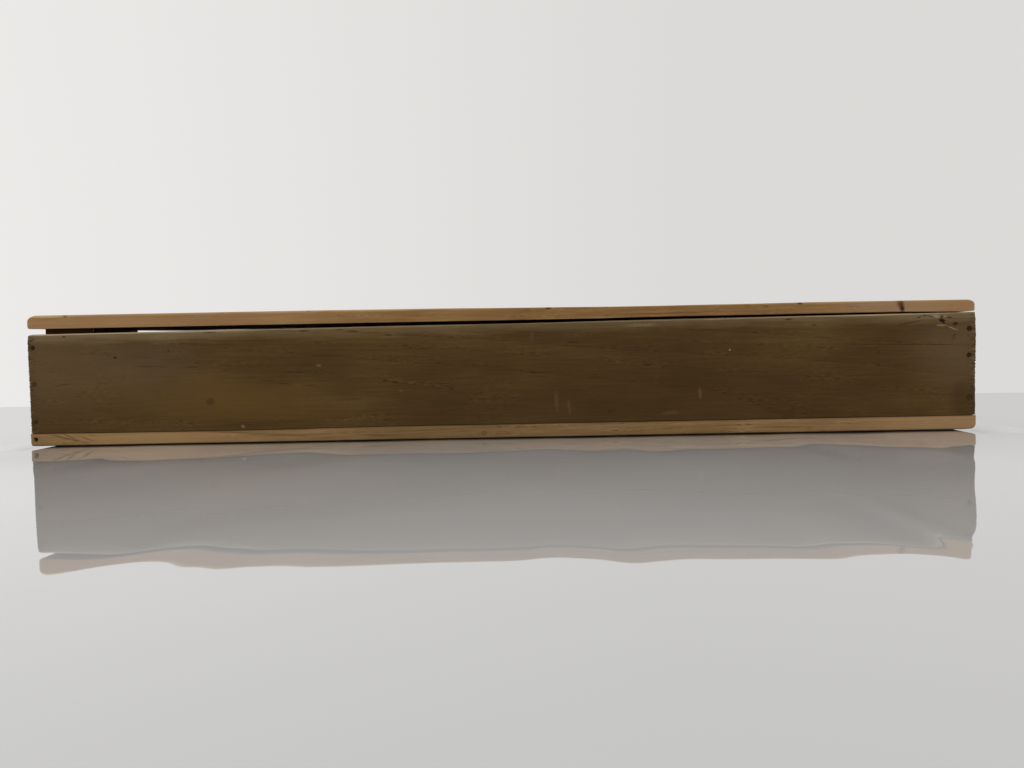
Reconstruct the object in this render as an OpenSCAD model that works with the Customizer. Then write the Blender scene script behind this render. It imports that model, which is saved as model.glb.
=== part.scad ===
// Scroll storage box of plain wooden boards, held with wooden pegs.
// Millimetres. X runs along the length, -Y is the front and Z is up.
// The origin lies on the underside, below the middle of the box.

/* [Box] */
// Length of the front and back walls
box_len = 608; // [420:1:760]
// Width over the front and back walls
box_w = 79; // [72:1:110]
// Height of the walls above the bottom board
wall_h = 64.8; // [60:0.2:100]
// Thickness of the front and back walls
wall_t = 7.5; // [6:0.1:11]
// Thickness of the end walls
end_t = 8; // [6:0.1:11]
// Rounding of the upright outer corners
corner_r = 1.5; // [0.5:0.1:4]
// Height of the soft, handled stretch below the long walls' top edges
soft_h = 6; // [3:0.1:8]
// Radius of that soft stretch
soft_r = 18; // [14:1:40]
// Rounding of the walls' top edges
wall_arris = 0.9; // [0.4:0.1:1.6]

/* [Bottom board] */
// Thickness of the bottom board
bottom_t = 8.6; // [6:0.1:12]
// How far the bottom board stands out at each end
bottom_out_end = 0.4; // [0.2:0.1:3]
// How far the bottom board stands out at the front and the back
bottom_out_side = 0.4; // [0.2:0.1:2]
// Rounding of the bottom board's lower edge at its left end
bottom_left_r = 1.8; // [0.5:0.1:4]
// Rounding of the bottom board's lower edge at its right end
bottom_right_r = 3.2; // [0.5:0.1:4]
// Rounding of the bottom board's long lower edges
bottom_arris = 1.2; // [0.4:0.1:2]
// Rounding of the bottom board's upright corners
bottom_corner_r = 1.6; // [0.5:0.1:4]
// Diameter of the small round hole in the front edge
pin_hole_d = 3; // [1.5:0.1:3.6]
// Depth of that hole
pin_hole_deep = 10; // [4:1:20]
// Distance of that hole from the bottom board's left end
pin_hole_in = 3.9; // [2.8:0.1:8]

/* [Lid] */
// Thickness of the lid at its left end
lid_t = 8.5; // [6:0.1:12]
// How much thinner the lid is at its right end
lid_taper = 1.3; // [0.2:0.1:2]
// How much shorter the lid is than the walls
lid_short = 0.3; // [0:0.1:3]
// How much narrower the lid is than the box
lid_narrow = 0; // [0:0.1:2]
// How far the lid board is fixed to the right of its place evenly over the cleats
lid_off = 1.35; // [0:0.05:2]
// Running gap between the lid and what it lies on
lid_gap = 0.3; // [0.1:0.05:0.6]
// Length of the rounding at the lid's left end
lid_left_run = 6.5; // [4:0.1:9]
// Drop of the rounding at the lid's left end
lid_left_drop = 3.2; // [1.5:0.1:4]
// Length of the rounding at the lid's right end
lid_right_run = 5; // [3:0.1:9]
// Drop of the rounding at the lid's right end
lid_right_drop = 2.4; // [0.8:0.1:3]
// Length of the planed relief under the lid's right end
lid_under_run = 5; // [2:0.1:8]
// Height of that relief at the very end
lid_under_rise = 0.6; // [0.2:0.1:1]
// Rounding of the lid's long top edges
lid_arris = 1.3; // [0.4:0.1:2]
// Rounding of the lid's lower edges
lid_low_arris = 0.4; // [0.2:0.1:1.2]
// Rounding of the lid's upright corners
lid_corner_r = 2; // [0.5:0.1:4]

/* [Lid cleats] */
// Width of a cleat along the box
cleat_w = 32.8; // [20:0.1:45]
// Thickness of a cleat
cleat_t = 3.6; // [2.5:0.1:6]
// Play between a cleat and the end wall when the lid is home
cleat_end_play = 0.3; // [0.1:0.05:0.5]
// How far the left cleat has caught over the top of the left end wall
cleat_catch = 1; // [0.2:0.1:1.6]
// Play between a cleat and the front or back wall
cleat_side_play = 2.5; // [0.3:0.05:4]
// Bevel along a cleat's lower edges
cleat_bevel = 0.8; // [0.3:0.1:1.5]

/* [Roller rests] */
// Thickness of a rest along the box
rest_t = 10; // [6:0.5:16]
// Height of a rest
rest_h = 30; // [22:0.5:36]
// Radius of the half-round notch for the roller's knob
notch_r = 15; // [8:0.5:18]
// Bevel along the notch's two lips
notch_bevel = 1; // [0.4:0.1:2]

/* [Pegs] */
// Diameter of a peg
peg_d = 2.6; // [1.8:0.1:3.2]
// How far a corner peg or a bottom peg goes past the board that it holds
peg_bite = 15; // [10:1:18]
// Length of a peg's pointed tip
peg_tip = 3; // [1:0.1:5]
// How far a peg's head lies below the surface
peg_sink = 0.2; // [0.15:0.05:0.5]
// Clearance round a peg
peg_play = 0.05; // [0.02:0.01:0.1]
// Height of the lowest peg at the left corners, above the bottom board
left_peg_low = 7.5; // [5:0.5:12]
// Height of the middle peg at the left corners
left_peg_mid = 32; // [20:0.5:38]
// Height of the top peg at the left corners
left_peg_top = 56; // [44:0.5:57]
// Height of the lowest peg at the right corners, above the bottom board
right_peg_low = 11.5; // [5:0.5:14]
// Height of the middle peg at the right corners
right_peg_mid = 38; // [22:0.5:42]
// Height of the top peg at the right corners
right_peg_top = 54.5; // [48:0.5:57]
// Distance of the outermost bottom pegs from the end walls
bottom_peg_in = 11; // [2:0.5:30]
// Number of bottom pegs along each long wall
bottom_peg_count = 5; // [3:1:7]
// Distance between the two bottom pegs of an end wall
end_peg_gap = 22; // [12:1:26]
// Number of pegs in a cleat
cleat_peg_count = 3; // [2:1:4]
// Distance of a cleat's outermost pegs from its ends
cleat_peg_in = 9; // [5:0.5:15]
// How far a cleat's pegs go into the lid
cleat_peg_bite = 4.4; // [3:0.1:5]
// Length of the pointed tip of a cleat's pegs
cleat_peg_tip = 2; // [0.5:0.1:2.8]

/* [Hidden] */
$fn = 48;

// Shades of the old wood
wall_wood = "#5a4a33";
board_wood = "#8f7350";
inner_wood = "#9a7f58";
peg_wood = "#3f3021";

// Extra reach of a cutter past the face that it cuts
past = 1;
// Steps of a drawn arc
arc_steps = 6;

// Places worked out from the sizes above
wall_top = bottom_t + wall_h;
inner_len = box_len - 2 * end_t;
inner_w = box_w - 2 * wall_t;
bottom_len = box_len + 2 * bottom_out_end;
bottom_w = box_w + 2 * bottom_out_side;
lid_len = box_len - lid_short;
lid_w = box_w - lid_narrow;
cleat_len = inner_w - 2 * cleat_side_play;
cleat_out = inner_len / 2 - cleat_end_play;
// The lid lies to the left, with its left cleat caught on top of the left end wall, and that tips it
lid_shift = cleat_catch + cleat_end_play;
lid_tilt = atan(cleat_t / (lid_len / 2 + lid_off + cleat_out));

// Points of an arc about c, from angle a to angle b
function arc(c, r, a, b) =
    [for (i = [0:arc_steps]) let (t = a + (b - a) * i / arc_steps) c + r * [cos(t), sin(t)]];

// Places spread evenly from -reach to reach
function spread(reach, count) = [for (i = [0:count - 1]) reach * (2 * i / (count - 1) - 1)];

// Radius of an arc that starts level and drops by this much over this run
function drop_r(run, drop) = (run * run + drop * drop) / (2 * drop);

// Turns an outline drawn as (x, z) into a solid across Y, centred
module across(width) {
    rotate([90, 0, 0]) linear_extrude(width, center = true) children();
}

// Turns an outline drawn as (y, z) into a solid along X, centred
module along(length) {
    rotate([90, 0, 90]) linear_extrude(length, center = true) children();
}

// Turns a plan drawn as (x, y) into an upright solid that reaches past z = 0 and past its height
module upright(height) {
    translate([0, 0, -past]) linear_extrude(height + 2 * past) children();
}

// Puts what is drawn for the left end at the left (side is -1) or the right (side is 1)
module at_end(side) {
    rotate([0, 0, side < 0 ? 0 : 180]) children();
}

// A plan with four rounded corners
module rounded_plan(length, width, r) {
    x = length / 2 - r;
    y = width / 2 - r;
    polygon(concat(
        arc([x, y], r, 0, 90), arc([-x, y], r, 90, 180),
        arc([-x, -y], r, 180, 270), arc([x, -y], r, 270, 360)
    ));
}

// A peg driven towards +Z into the face at z = 0, with its head just below that face
module peg(reach, tip) {
    translate([0, 0, peg_sink]) cylinder(h = reach - tip - peg_sink, d = peg_d);
    translate([0, 0, reach - tip]) cylinder(h = tip, d1 = peg_d, d2 = peg_d / 3);
}

// The hole that such a peg sits in
module peg_hole(reach, tip) {
    hole_d = peg_d + 2 * peg_play;
    translate([0, 0, -past]) cylinder(h = reach - tip + past, d = hole_d);
    translate([0, 0, reach - tip]) cylinder(h = tip + peg_play, d1 = hole_d, d2 = hole_d / 3);
}

// Puts a peg or its hole at each corner peg's head. face is -1 at the front and 1 at the back
module at_corner_pegs(side, face) {
    heights = side < 0
        ? [left_peg_low, left_peg_mid, left_peg_top]
        : [right_peg_low, right_peg_mid, right_peg_top];
    for (z = heights)
        translate([side * (box_len - end_t) / 2, face * box_w / 2, bottom_t + z])
            rotate([90 * face, 0, 0]) children();
}

// Puts a peg or its hole at each bottom peg's head below a long wall
module at_wall_bottom_pegs(face) {
    for (x = spread(inner_len / 2 - bottom_peg_in, bottom_peg_count))
        translate([x, face * (box_w - wall_t) / 2, 0]) children();
}

// Puts a peg or its hole at each bottom peg's head below an end wall
module at_end_bottom_pegs(side) {
    for (y = [-end_peg_gap / 2, end_peg_gap / 2])
        translate([side * (box_len - end_t) / 2, y, 0]) children();
}

// Puts a peg or its hole at each cleat peg's head, in the lid's own frame
module at_cleat_pegs(side) {
    for (y = spread(cleat_len / 2 - cleat_peg_in, cleat_peg_count))
        translate([side * (cleat_out - cleat_w / 2) - lid_off, y, -cleat_t]) children();
}

// The lid's own frame has the middle of its underside at the origin. It is tipped about its right end
module place_lid() {
    translate([lid_len / 2 + lid_off - lid_shift, 0, wall_top + lid_gap])
        rotate([0, lid_tilt, 0])
            translate([-lid_len / 2, 0, 0]) children();
}

// Section of a long wall as (y, z), with its outer face at y = 0 and its foot at z = 0
module wall_section() {
    low = wall_h - soft_h;
    inner_r = soft_r - wall_arris;
    turn = asin((soft_h - wall_arris) / inner_r);
    polygon(concat(
        [[wall_t, 0], [0, 0]],
        arc([soft_r, low], soft_r, 180, 180 - turn),
        arc([soft_r - inner_r * cos(turn), low + inner_r * sin(turn)], wall_arris, 180 - turn, 90),
        [[wall_t, wall_h]]
    ));
}

// Plan of a long wall as (x, y), with its outer face at y = 0
module wall_plan() {
    far = box_len / 2;
    polygon(concat(
        [[-far, wall_t + past]],
        arc([-far + corner_r, corner_r], corner_r, 180, 270),
        arc([far - corner_r, corner_r], corner_r, 270, 360),
        [[far, wall_t + past]]
    ));
}

// A long wall with its peg holes. The two differ only in which way they face
module long_wall(face) {
    color(wall_wood) difference() {
        rotate([0, 0, face < 0 ? 0 : 180]) translate([0, -box_w / 2, bottom_t]) intersection() {
            along(box_len + 2 * past) wall_section();
            upright(wall_h) wall_plan();
        }
        for (side = [-1, 1]) at_corner_pegs(side, face) peg_hole(wall_t + peg_bite, peg_tip);
        at_wall_bottom_pegs(face) peg_hole(bottom_t + peg_bite, peg_tip);
    }
}

// An end wall stands between the long walls
module end_wall(side) {
    color(wall_wood) difference() {
        at_end(side) translate([-box_len / 2, 0, bottom_t]) across(inner_w) polygon(concat(
            [[end_t, 0], [end_t, wall_h]],
            arc([wall_arris, wall_h - wall_arris], wall_arris, 90, 180),
            [[0, 0]]
        ));
        for (face = [-1, 1]) at_corner_pegs(side, face) peg_hole(wall_t + peg_bite, peg_tip);
        at_end_bottom_pegs(side) peg_hole(bottom_t + peg_bite, peg_tip);
    }
}

// The bottom board from the front as (x, z), with its lower edges rounded at both ends
module bottom_outline() {
    far = bottom_len / 2;
    polygon(concat(
        arc([-far + bottom_left_r, bottom_left_r], bottom_left_r, 180, 270),
        arc([far - bottom_right_r, bottom_right_r], bottom_right_r, 270, 360),
        [[far, bottom_t], [-far, bottom_t]]
    ));
}

// The bottom board from its end as (y, z)
module bottom_section() {
    far = bottom_w / 2;
    polygon(concat(
        arc([-far + bottom_arris, bottom_arris], bottom_arris, 180, 270),
        arc([far - bottom_arris, bottom_arris], bottom_arris, 270, 360),
        [[far, bottom_t], [-far, bottom_t]]
    ));
}

module bottom_board() {
    color(board_wood) difference() {
        intersection() {
            across(bottom_w + 2 * past) bottom_outline();
            along(bottom_len + 2 * past) bottom_section();
            upright(bottom_t) rounded_plan(bottom_len, bottom_w, bottom_corner_r);
        }
        for (face = [-1, 1]) at_wall_bottom_pegs(face) peg_hole(bottom_t + peg_bite, peg_tip);
        for (side = [-1, 1]) at_end_bottom_pegs(side) peg_hole(bottom_t + peg_bite, peg_tip);
        translate([-bottom_len / 2 + pin_hole_in, -bottom_w / 2 - past, bottom_t / 2])
            rotate([-90, 0, 0]) cylinder(h = past + pin_hole_deep, d = pin_hole_d);
    }
}

// A rest with a half-round notch that carries one knob of the scroll's roller
module roller_rest(side) {
    lip = notch_r + notch_bevel;
    bevel_foot = lip - 2 * notch_bevel;
    color(inner_wood) at_end(side) translate([-inner_len / 2, 0, bottom_t]) difference() {
        translate([0, -inner_w / 2, 0]) cube([rest_t, inner_w, rest_h]);
        translate([rest_t / 2, 0, rest_h]) rotate([0, 90, 0])
            cylinder(h = rest_t + 2 * past, r = notch_r, center = true);
        translate([rest_t / 2, 0, rest_h]) along(rest_t + 2 * past) polygon([
            [-lip - past, past], [-lip, 0], [-bevel_foot, -2 * notch_bevel],
            [bevel_foot, -2 * notch_bevel], [lip, 0], [lip + past, past]
        ]);
    }
}

// The lid from the front as (x, z): rounded over at both ends, and planed away under its right end
module lid_outline() {
    far = lid_len / 2;
    thin = lid_t - lid_taper;
    left_r = drop_r(lid_left_run, lid_left_drop);
    left_turn = asin(lid_left_run / left_r);
    right_r = drop_r(lid_right_run, lid_right_drop);
    right_turn = asin(lid_right_run / right_r);
    polygon(concat(
        arc([-far + lid_low_arris, lid_low_arris], lid_low_arris, 270, 180),
        arc([-far + lid_left_run, lid_t - left_r], left_r, 90 + left_turn, 90),
        arc([far - lid_right_run, thin - right_r], right_r, 90, 90 - right_turn),
        arc([far - lid_low_arris, lid_under_rise + lid_low_arris], lid_low_arris, 360, 270),
        [[far - lid_under_run, 0]]
    ));
}

// The lid's long lower edges as (y, z), with the underside at z = 0
module lid_low_section() {
    far = lid_w / 2;
    polygon(concat(
        [[-far, 2 * lid_t]],
        arc([-far + lid_low_arris, lid_low_arris], lid_low_arris, 180, 270),
        arc([far - lid_low_arris, lid_low_arris], lid_low_arris, 270, 360),
        [[far, 2 * lid_t]]
    ));
}

// The lid's long top edges as (y, z), with the top at z = 0
module lid_top_section() {
    far = lid_w / 2;
    polygon(concat(
        [[-far, -2 * lid_t]],
        arc([-far + lid_arris, -lid_arris], lid_arris, 180, 90),
        arc([far - lid_arris, -lid_arris], lid_arris, 90, 0),
        [[far, -2 * lid_t]]
    ));
}

module lid_board() {
    taper_from = -lid_len / 2 + lid_left_run;
    taper = atan(lid_taper / (lid_len - lid_left_run - lid_right_run));
    color(board_wood) place_lid() difference() {
        intersection() {
            across(lid_w + 2 * past) lid_outline();
            along(lid_len + 2 * past) lid_low_section();
            translate([taper_from, 0, lid_t]) rotate([0, taper, 0])
                along(2 * lid_len) lid_top_section();
            upright(lid_t) rounded_plan(lid_len, lid_w, lid_corner_r);
        }
        for (side = [-1, 1]) at_cleat_pegs(side) peg_hole(cleat_t + cleat_peg_bite, cleat_peg_tip);
    }
}

// A flat cleat under the lid, with its lower edges eased at both ends and towards the middle of the box
module lid_cleat(side) {
    half = cleat_len / 2;
    color(inner_wood) place_lid() difference() {
        translate([-lid_off, 0, -cleat_t]) at_end(side) translate([-cleat_out, 0, 0]) intersection() {
            across(cleat_len + 2 * past) polygon([
                [0, 0], [cleat_w - cleat_bevel, 0], [cleat_w, cleat_bevel],
                [cleat_w, cleat_t], [0, cleat_t]
            ]);
            translate([cleat_w / 2, 0, 0]) along(cleat_w + 2 * past) polygon([
                [-half + cleat_bevel, 0], [half - cleat_bevel, 0], [half, cleat_bevel],
                [half, cleat_t], [-half, cleat_t], [-half, cleat_bevel]
            ]);
        }
        at_cleat_pegs(side) peg_hole(cleat_t + cleat_peg_bite, cleat_peg_tip);
    }
}

module corner_pegs(side, face) {
    color(peg_wood) at_corner_pegs(side, face) peg(wall_t + peg_bite, peg_tip);
}

module wall_bottom_pegs(face) {
    color(peg_wood) at_wall_bottom_pegs(face) peg(bottom_t + peg_bite, peg_tip);
}

module end_bottom_pegs(side) {
    color(peg_wood) at_end_bottom_pegs(side) peg(bottom_t + peg_bite, peg_tip);
}

module cleat_pegs(side) {
    color(peg_wood) place_lid() at_cleat_pegs(side) peg(cleat_t + cleat_peg_bite, cleat_peg_tip);
}

bottom_board();
long_wall(-1);  // front_wall
long_wall(1);  // back_wall
end_wall(-1);  // left_end_wall
end_wall(1);  // right_end_wall
roller_rest(-1);  // left_roller_rest
roller_rest(1);  // right_roller_rest
corner_pegs(-1, -1);  // front_left_corner_pegs
corner_pegs(1, -1);  // front_right_corner_pegs
corner_pegs(-1, 1);  // back_left_corner_pegs
corner_pegs(1, 1);  // back_right_corner_pegs
wall_bottom_pegs(-1);  // front_bottom_pegs
wall_bottom_pegs(1);  // back_bottom_pegs
end_bottom_pegs(-1);  // left_bottom_pegs
end_bottom_pegs(1);  // right_bottom_pegs
lid_board();
lid_cleat(-1);  // left_lid_cleat
lid_cleat(1);  // right_lid_cleat
cleat_pegs(-1);  // left_cleat_pegs
cleat_pegs(1);  // right_cleat_pegs
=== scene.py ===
"""An old pegged scroll box: worn paulownia boards, wooden pegs and notched rests, on a glossy pale table."""
import math

import bpy
import numpy as np
from bpy.props import FloatProperty, FloatVectorProperty, PointerProperty
from mathutils import Matrix, Vector


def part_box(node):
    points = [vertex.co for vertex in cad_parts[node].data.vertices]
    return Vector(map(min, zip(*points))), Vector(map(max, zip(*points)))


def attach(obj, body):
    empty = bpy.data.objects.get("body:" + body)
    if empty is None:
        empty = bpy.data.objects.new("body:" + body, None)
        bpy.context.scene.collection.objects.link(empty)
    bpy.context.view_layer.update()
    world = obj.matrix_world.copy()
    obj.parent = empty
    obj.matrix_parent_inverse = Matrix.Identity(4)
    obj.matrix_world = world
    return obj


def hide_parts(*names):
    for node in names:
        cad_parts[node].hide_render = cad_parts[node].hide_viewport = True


bl_info = {
    "name": "Scroll box",
    "version": (1, 0, 0),
    "blender": (4, 5, 0),
    "location": "3D View > Sidebar > Scroll box",
    "description": "Worn boards, pegs and rests of an old scroll box, on a glossy pale table",
    "category": "Add Mesh",
}

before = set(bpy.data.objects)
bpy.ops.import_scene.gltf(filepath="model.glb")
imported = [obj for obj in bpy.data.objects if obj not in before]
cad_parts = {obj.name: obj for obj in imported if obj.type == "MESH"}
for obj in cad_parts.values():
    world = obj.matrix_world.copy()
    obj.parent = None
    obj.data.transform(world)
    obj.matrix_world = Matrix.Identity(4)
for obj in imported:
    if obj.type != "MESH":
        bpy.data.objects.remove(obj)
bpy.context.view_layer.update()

MM = 0.001
LEFT, RIGHT = -1, 1
FRONT, BACK = -1, 1
ENDS = ("left", "right")
ARC_STEPS = 6


def node_box(name):
    """Lowest and highest corners of a CAD node."""
    return np.array(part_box(name))


WALL_LOW, WALL_HIGH = node_box("front_wall")
END_LOW, END_HIGH = node_box("left_end_wall")
BASE_LOW, BASE_HIGH = node_box("bottom_board")
LID_LOW, LID_HIGH = node_box("lid_board")
CLEAT_LOW, CLEAT_HIGH = node_box("left_lid_cleat")
FAR_CLEAT_LOW, FAR_CLEAT_HIGH = node_box("right_lid_cleat")
REST_LOW, REST_HIGH = node_box("left_roller_rest")

HALF_LEN = WALL_HIGH[0]
HALF_WIDE = -WALL_LOW[1]
FACE_Y = WALL_LOW[1]
WALL_FOOT, WALL_TOP = WALL_LOW[2], WALL_HIGH[2]
# The open peg hole in the bottom board's front edge
HOLE_X, HOLE_Z = BASE_LOW[0] + 3.9 * MM, (BASE_LOW[2] + BASE_HIGH[2]) / 2
# Both cleats lie under the lid, so their highest corners give its slope
LID_TILT = math.atan((CLEAT_HIGH[2] - FAR_CLEAT_HIGH[2]) / (FAR_CLEAT_LOW[0] - CLEAT_LOW[0]))
LID_MIDDLE = (LID_LOW[0] + LID_HIGH[0]) / 2


# Sizes and colours


def srgb(code):
    """Linear RGBA of an sRGB hex colour."""
    parts = np.array([int(code[k:k + 2], 16) for k in (1, 3, 5)]) / 255
    linear = np.where(parts <= 0.04045, parts / 12.92, ((parts + 0.055) / 1.055) ** 2.4)
    return (*linear.tolist(), 1)


def length(description, millimetres):
    """A length property, stated in millimetres."""
    return FloatProperty(description=description, default=millimetres * MM, unit="LENGTH")


def colour(description, code):
    """A colour property, stated as sRGB hex."""
    return FloatVectorProperty(description=description, default=srgb(code), size=4, subtype="COLOR")


class ScrollBoxSizes(bpy.types.PropertyGroup):
    """Roundings and wear of the boards"""
    corner: length("Rounding of the walls' upright corners", 1.5)
    soft_height: length("Height of the handled stretch at a wall's top", 6)
    soft_radius: length("Radius of the handled stretch", 18)
    wall_arris: length("Rounding of the walls' top edges", 0.9)
    tear: length("Depth of the torn fibres at the walls' ends", 0.8)
    lid_left_thick: length("Thickness of the lid at its left end", 8.5)
    lid_right_thick: length("Thickness of the lid at its right end", 7.2)
    lid_arris: length("Rounding of the lid's long top edges", 1.3)
    lid_low_arris: length("Rounding of the lid's lower edges", 0.4)
    lid_left_run: length("Run of the lid's left rounding", 6.5)
    lid_left_drop: length("Drop of the lid's left rounding", 3.2)
    lid_right_run: length("Run of the lid's right rounding", 5)
    lid_right_drop: length("Drop of the lid's right rounding", 2.4)
    lid_under_run: length("Length of the relief under the lid's right end", 5)
    lid_under_rise: length("Height of that relief at the end", 0.45)
    base_left: length("Rounding of the bottom board's lower left edge", 2.4)
    base_right: length("Rounding of the bottom board's lower right edge", 4.4)
    base_arris: length("Rounding of the bottom board's long lower edges", 0.9)
    notch: length("Radius of the half-round notch in a rest", 15)
    peg: length("Radius of a peg", 1.3)


TONE_WORDS = ("dark", "middle", "light")
# The three tones of each kind of board
WOOD_TONES = {
    "wall": ("#3d2b13", "#503b1f", "#664e2d"),
    "board": ("#684925", "#85623a", "#a07c50"),
    "base": ("#654c29", "#866843", "#a5855a"),
    "inner": ("#735937", "#8f734a", "#a98d63"),
    "peg": ("#20150a", "#302110", "#463319"),
}


class ScrollBoxColours(bpy.types.PropertyGroup):
    """Colours of the wood and the stage"""
    __annotations__ = {
        f"{kind}_{word}": colour(f"{word.title()} tone of the {kind} wood", code)
        for kind, codes in WOOD_TONES.items() for word, code in zip(TONE_WORDS, codes)
    }
    worn_wall: colour("Bare wood at the walls' worn edges", "#b09a74")
    worn_board: colour("Bare wood at the boards' worn edges", "#b3946a")
    # Dirt in the joints, also used as painted shade on the bottom board's underside
    seam_dirt_and_shade: colour("Dirt in seams, gouges and holes", "#1a1006")
    # Painted contact shadow on the table round the box's foot
    table: colour("The polished table top", "#aeaead")
    table_contact_shadow: colour("The table in the dark line where the box stands", "#3c3c3b")
    backdrop_left: colour("The backdrop at the left", "#edebe9")
    backdrop_right: colour("The backdrop at the right", "#dcdad8")


def box_sizes():
    """The sizes of the scene."""
    return bpy.context.scene.scroll_box_sizes


def paint(name):
    """A colour of the scene."""
    return tuple(getattr(bpy.context.scene.scroll_box_colours, name))


# Numbers on the boards


def places(low, high, step, fine=1, dense=(), reach=0.003):
    """Places from low to high, step apart, and fine apart within reach of each dense place. They cut the
    summed density into equal shares."""
    s = np.linspace(low, high, 12001)
    density = np.full_like(s, 1 / step)
    for centre in dense:
        density += np.exp(-((s - centre) / reach) ** 4) / fine
    total = np.concatenate([[0], np.cumsum((density[1:] + density[:-1]) / 2 * np.diff(s))])
    return np.interp(np.linspace(0, total[-1], int(total[-1]) + 2), total, s)


def waver(t, period, seed, octaves=3):
    """Smooth irregular waves about 1 high: sines whose periods halve, with seeded rates and phases."""
    rng = np.random.default_rng(seed)
    total = np.zeros_like(t, dtype=float)
    for octave in range(octaves):
        rate = 2 * np.pi / period * 2 ** octave * rng.uniform(0.8, 1.25)
        total += np.sin(t * rate + rng.uniform(0, 2 * np.pi)) / 2 ** octave
    return total / 2


def smooth(t):
    """0 below 0, 1 above 1 and a smooth step between."""
    t = np.clip(t, 0, 1)
    return t * t * (3 - 2 * t)


def through(x, knots):
    """A curve through knots of (place, value) in millimetres, with a smooth step from each to the next."""
    at, value = np.array(knots).T * MM
    k = np.clip(np.searchsorted(at, x) - 1, 0, len(at) - 2)
    return value[k] + (value[k + 1] - value[k]) * smooth((x - at[k]) / (at[k + 1] - at[k]))


def board_top(x):
    """Height of the bottom board's top face, which was planed thinner towards the left."""
    return BASE_HIGH[2] - through(x, ((-304, 0.45), (-250, 0.75), (-180, 0.85), (-60, 0.05), (304, 0)))


def round_drop(distance, run, drop):
    """How far an arc has sunk at a distance from the end. It starts level at run and sinks by drop."""
    radius = (run ** 2 + drop ** 2) / (2 * drop)
    into = np.clip(run - distance, 0, run)
    return radius - np.sqrt(radius ** 2 - into ** 2)


def quarter(distance, radius):
    """How far a quarter round has drawn in at a distance from the end."""
    into = np.clip(radius - distance, 0, radius)
    return radius - np.sqrt(np.maximum(radius ** 2 - into ** 2, 0))


def sections(s, u, v, radii, fractions):
    """Sections of a board: at each station s a rectangle over u and v with round corners. They run down the
    low u side, along the low v side, up the high u side and back. fractions cut each side between corners."""
    ones = np.ones(len(s))
    u0, u1, v0, v1 = (np.asarray(side) * ones for side in (*u, *v))
    r = [np.minimum(np.asarray(radius) * ones, np.minimum(u1 - u0, v1 - v0) * 0.49) for radius in radii]
    middles = [(u0 + r[0], v0 + r[0]), (u1 - r[1], v0 + r[1]), (u1 - r[2], v1 - r[2]), (u0 + r[3], v1 - r[3])]
    arcs = []
    for k, middle in enumerate(middles):
        turn = np.radians(180 + 90 * k + np.linspace(0, 90, ARC_STEPS + 1))
        arc = np.stack([np.cos(turn), np.sin(turn)], -1) * r[k][:, None, None]
        arcs.append(np.stack(middle, -1)[:, None] + arc)
    walk = []
    for k in range(4):
        start, end = arcs[k - 1][:, -1:], arcs[k][:, :1]
        cut = np.asarray(fractions[k])[None, :, None]
        walk += [start + (end - start) * cut, arcs[k]]
    ring = np.concatenate(walk, 1)
    along = np.broadcast_to(s[:, None, None], ring[..., :1].shape)
    return np.concatenate([along, ring], -1)


def capped(rings, shrink=(0.96, 0.85, 0.6, 0.3)):
    """Adds smaller and smaller copies of the first and last ring, which close the board's flat ends."""
    factors = np.array(shrink)[:, None, None]
    first, last = (ring.mean(0) + (ring - ring.mean(0)) * factors for ring in (rings[0], rings[-1]))
    return np.concatenate([first[::-1], rings, last])


def drill(points, level, centre, radius, depth):
    """Sinks a round hole backwards from the front face at level. Nearby points are drawn to its circle."""
    flat = points[..., [0, 2]] - np.asarray(centre)
    apart = np.linalg.norm(flat, axis=-1)
    near = (np.abs(points[..., 1] - level) < 0.6 * MM) & (apart < 2 * radius) & (apart > 1e-9)
    t = apart / radius - 1
    drawn = radius * (1 + np.sign(t) * np.abs(t) ** 1.8)
    scale = np.where(near, drawn / np.maximum(apart, 1e-9), 1)
    points[..., [0, 2]] = np.where(near[..., None], centre + flat * scale[..., None], points[..., [0, 2]])
    points[..., 1] += np.where(near, smooth((radius - drawn) / (0.12 * radius)), 0) * depth
    return points


def dent(points, level, centre, reach, depth):
    """Presses a soft elliptical hollow into the front face at level: depth times (1 - r squared) squared."""
    flat = (points[..., [0, 2]] - np.array(centre) * MM) / (np.array(reach) * MM)
    hollow = np.clip(1 - (flat ** 2).sum(-1), 0, 1) ** 2
    points[..., 1] += np.where(np.abs(points[..., 1] - level) < 1.5 * MM, hollow, 0) * depth * MM
    return points


def peg_heads(node, axis, way):
    """Middle of each peg's head in a CAD node of pegs: of the vertices furthest along the axis, parted where
    they lie further apart than a peg is wide."""
    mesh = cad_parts[node].data
    co = np.zeros(len(mesh.vertices) * 3)
    mesh.vertices.foreach_get("co", co)
    co = co.reshape(-1, 3)
    reach = way * co[:, axis]
    heads = co[reach > reach.max() - 0.1 * MM]
    run = int(np.argmax(np.ptp(heads, axis=0)))
    heads = heads[np.argsort(heads[:, run])]
    cuts = np.where(np.diff(heads[:, run]) > 4 * MM)[0] + 1
    return [(group.min(0) + group.max(0)) / 2 for group in np.split(heads, cuts)]


# Meshes


def mesh_object(name, points, faces, sharp, **attributes):
    """An object with smooth faces that crease past sharp degrees. Each attribute has a value per point."""
    mesh = bpy.data.meshes.new(name)
    mesh.from_pydata(points.tolist(), [], faces)
    mesh.polygons.foreach_set("use_smooth", np.ones(len(faces), bool))
    mesh.set_sharp_from_angle(angle=math.radians(sharp))
    for word, values in attributes.items():
        mesh.attributes.new(word, "FLOAT", "POINT").data.foreach_set("value", values.astype(np.float32))
    piece = bpy.data.objects.new(name, mesh)
    bpy.context.scene.collection.objects.link(piece)
    return piece


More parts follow.
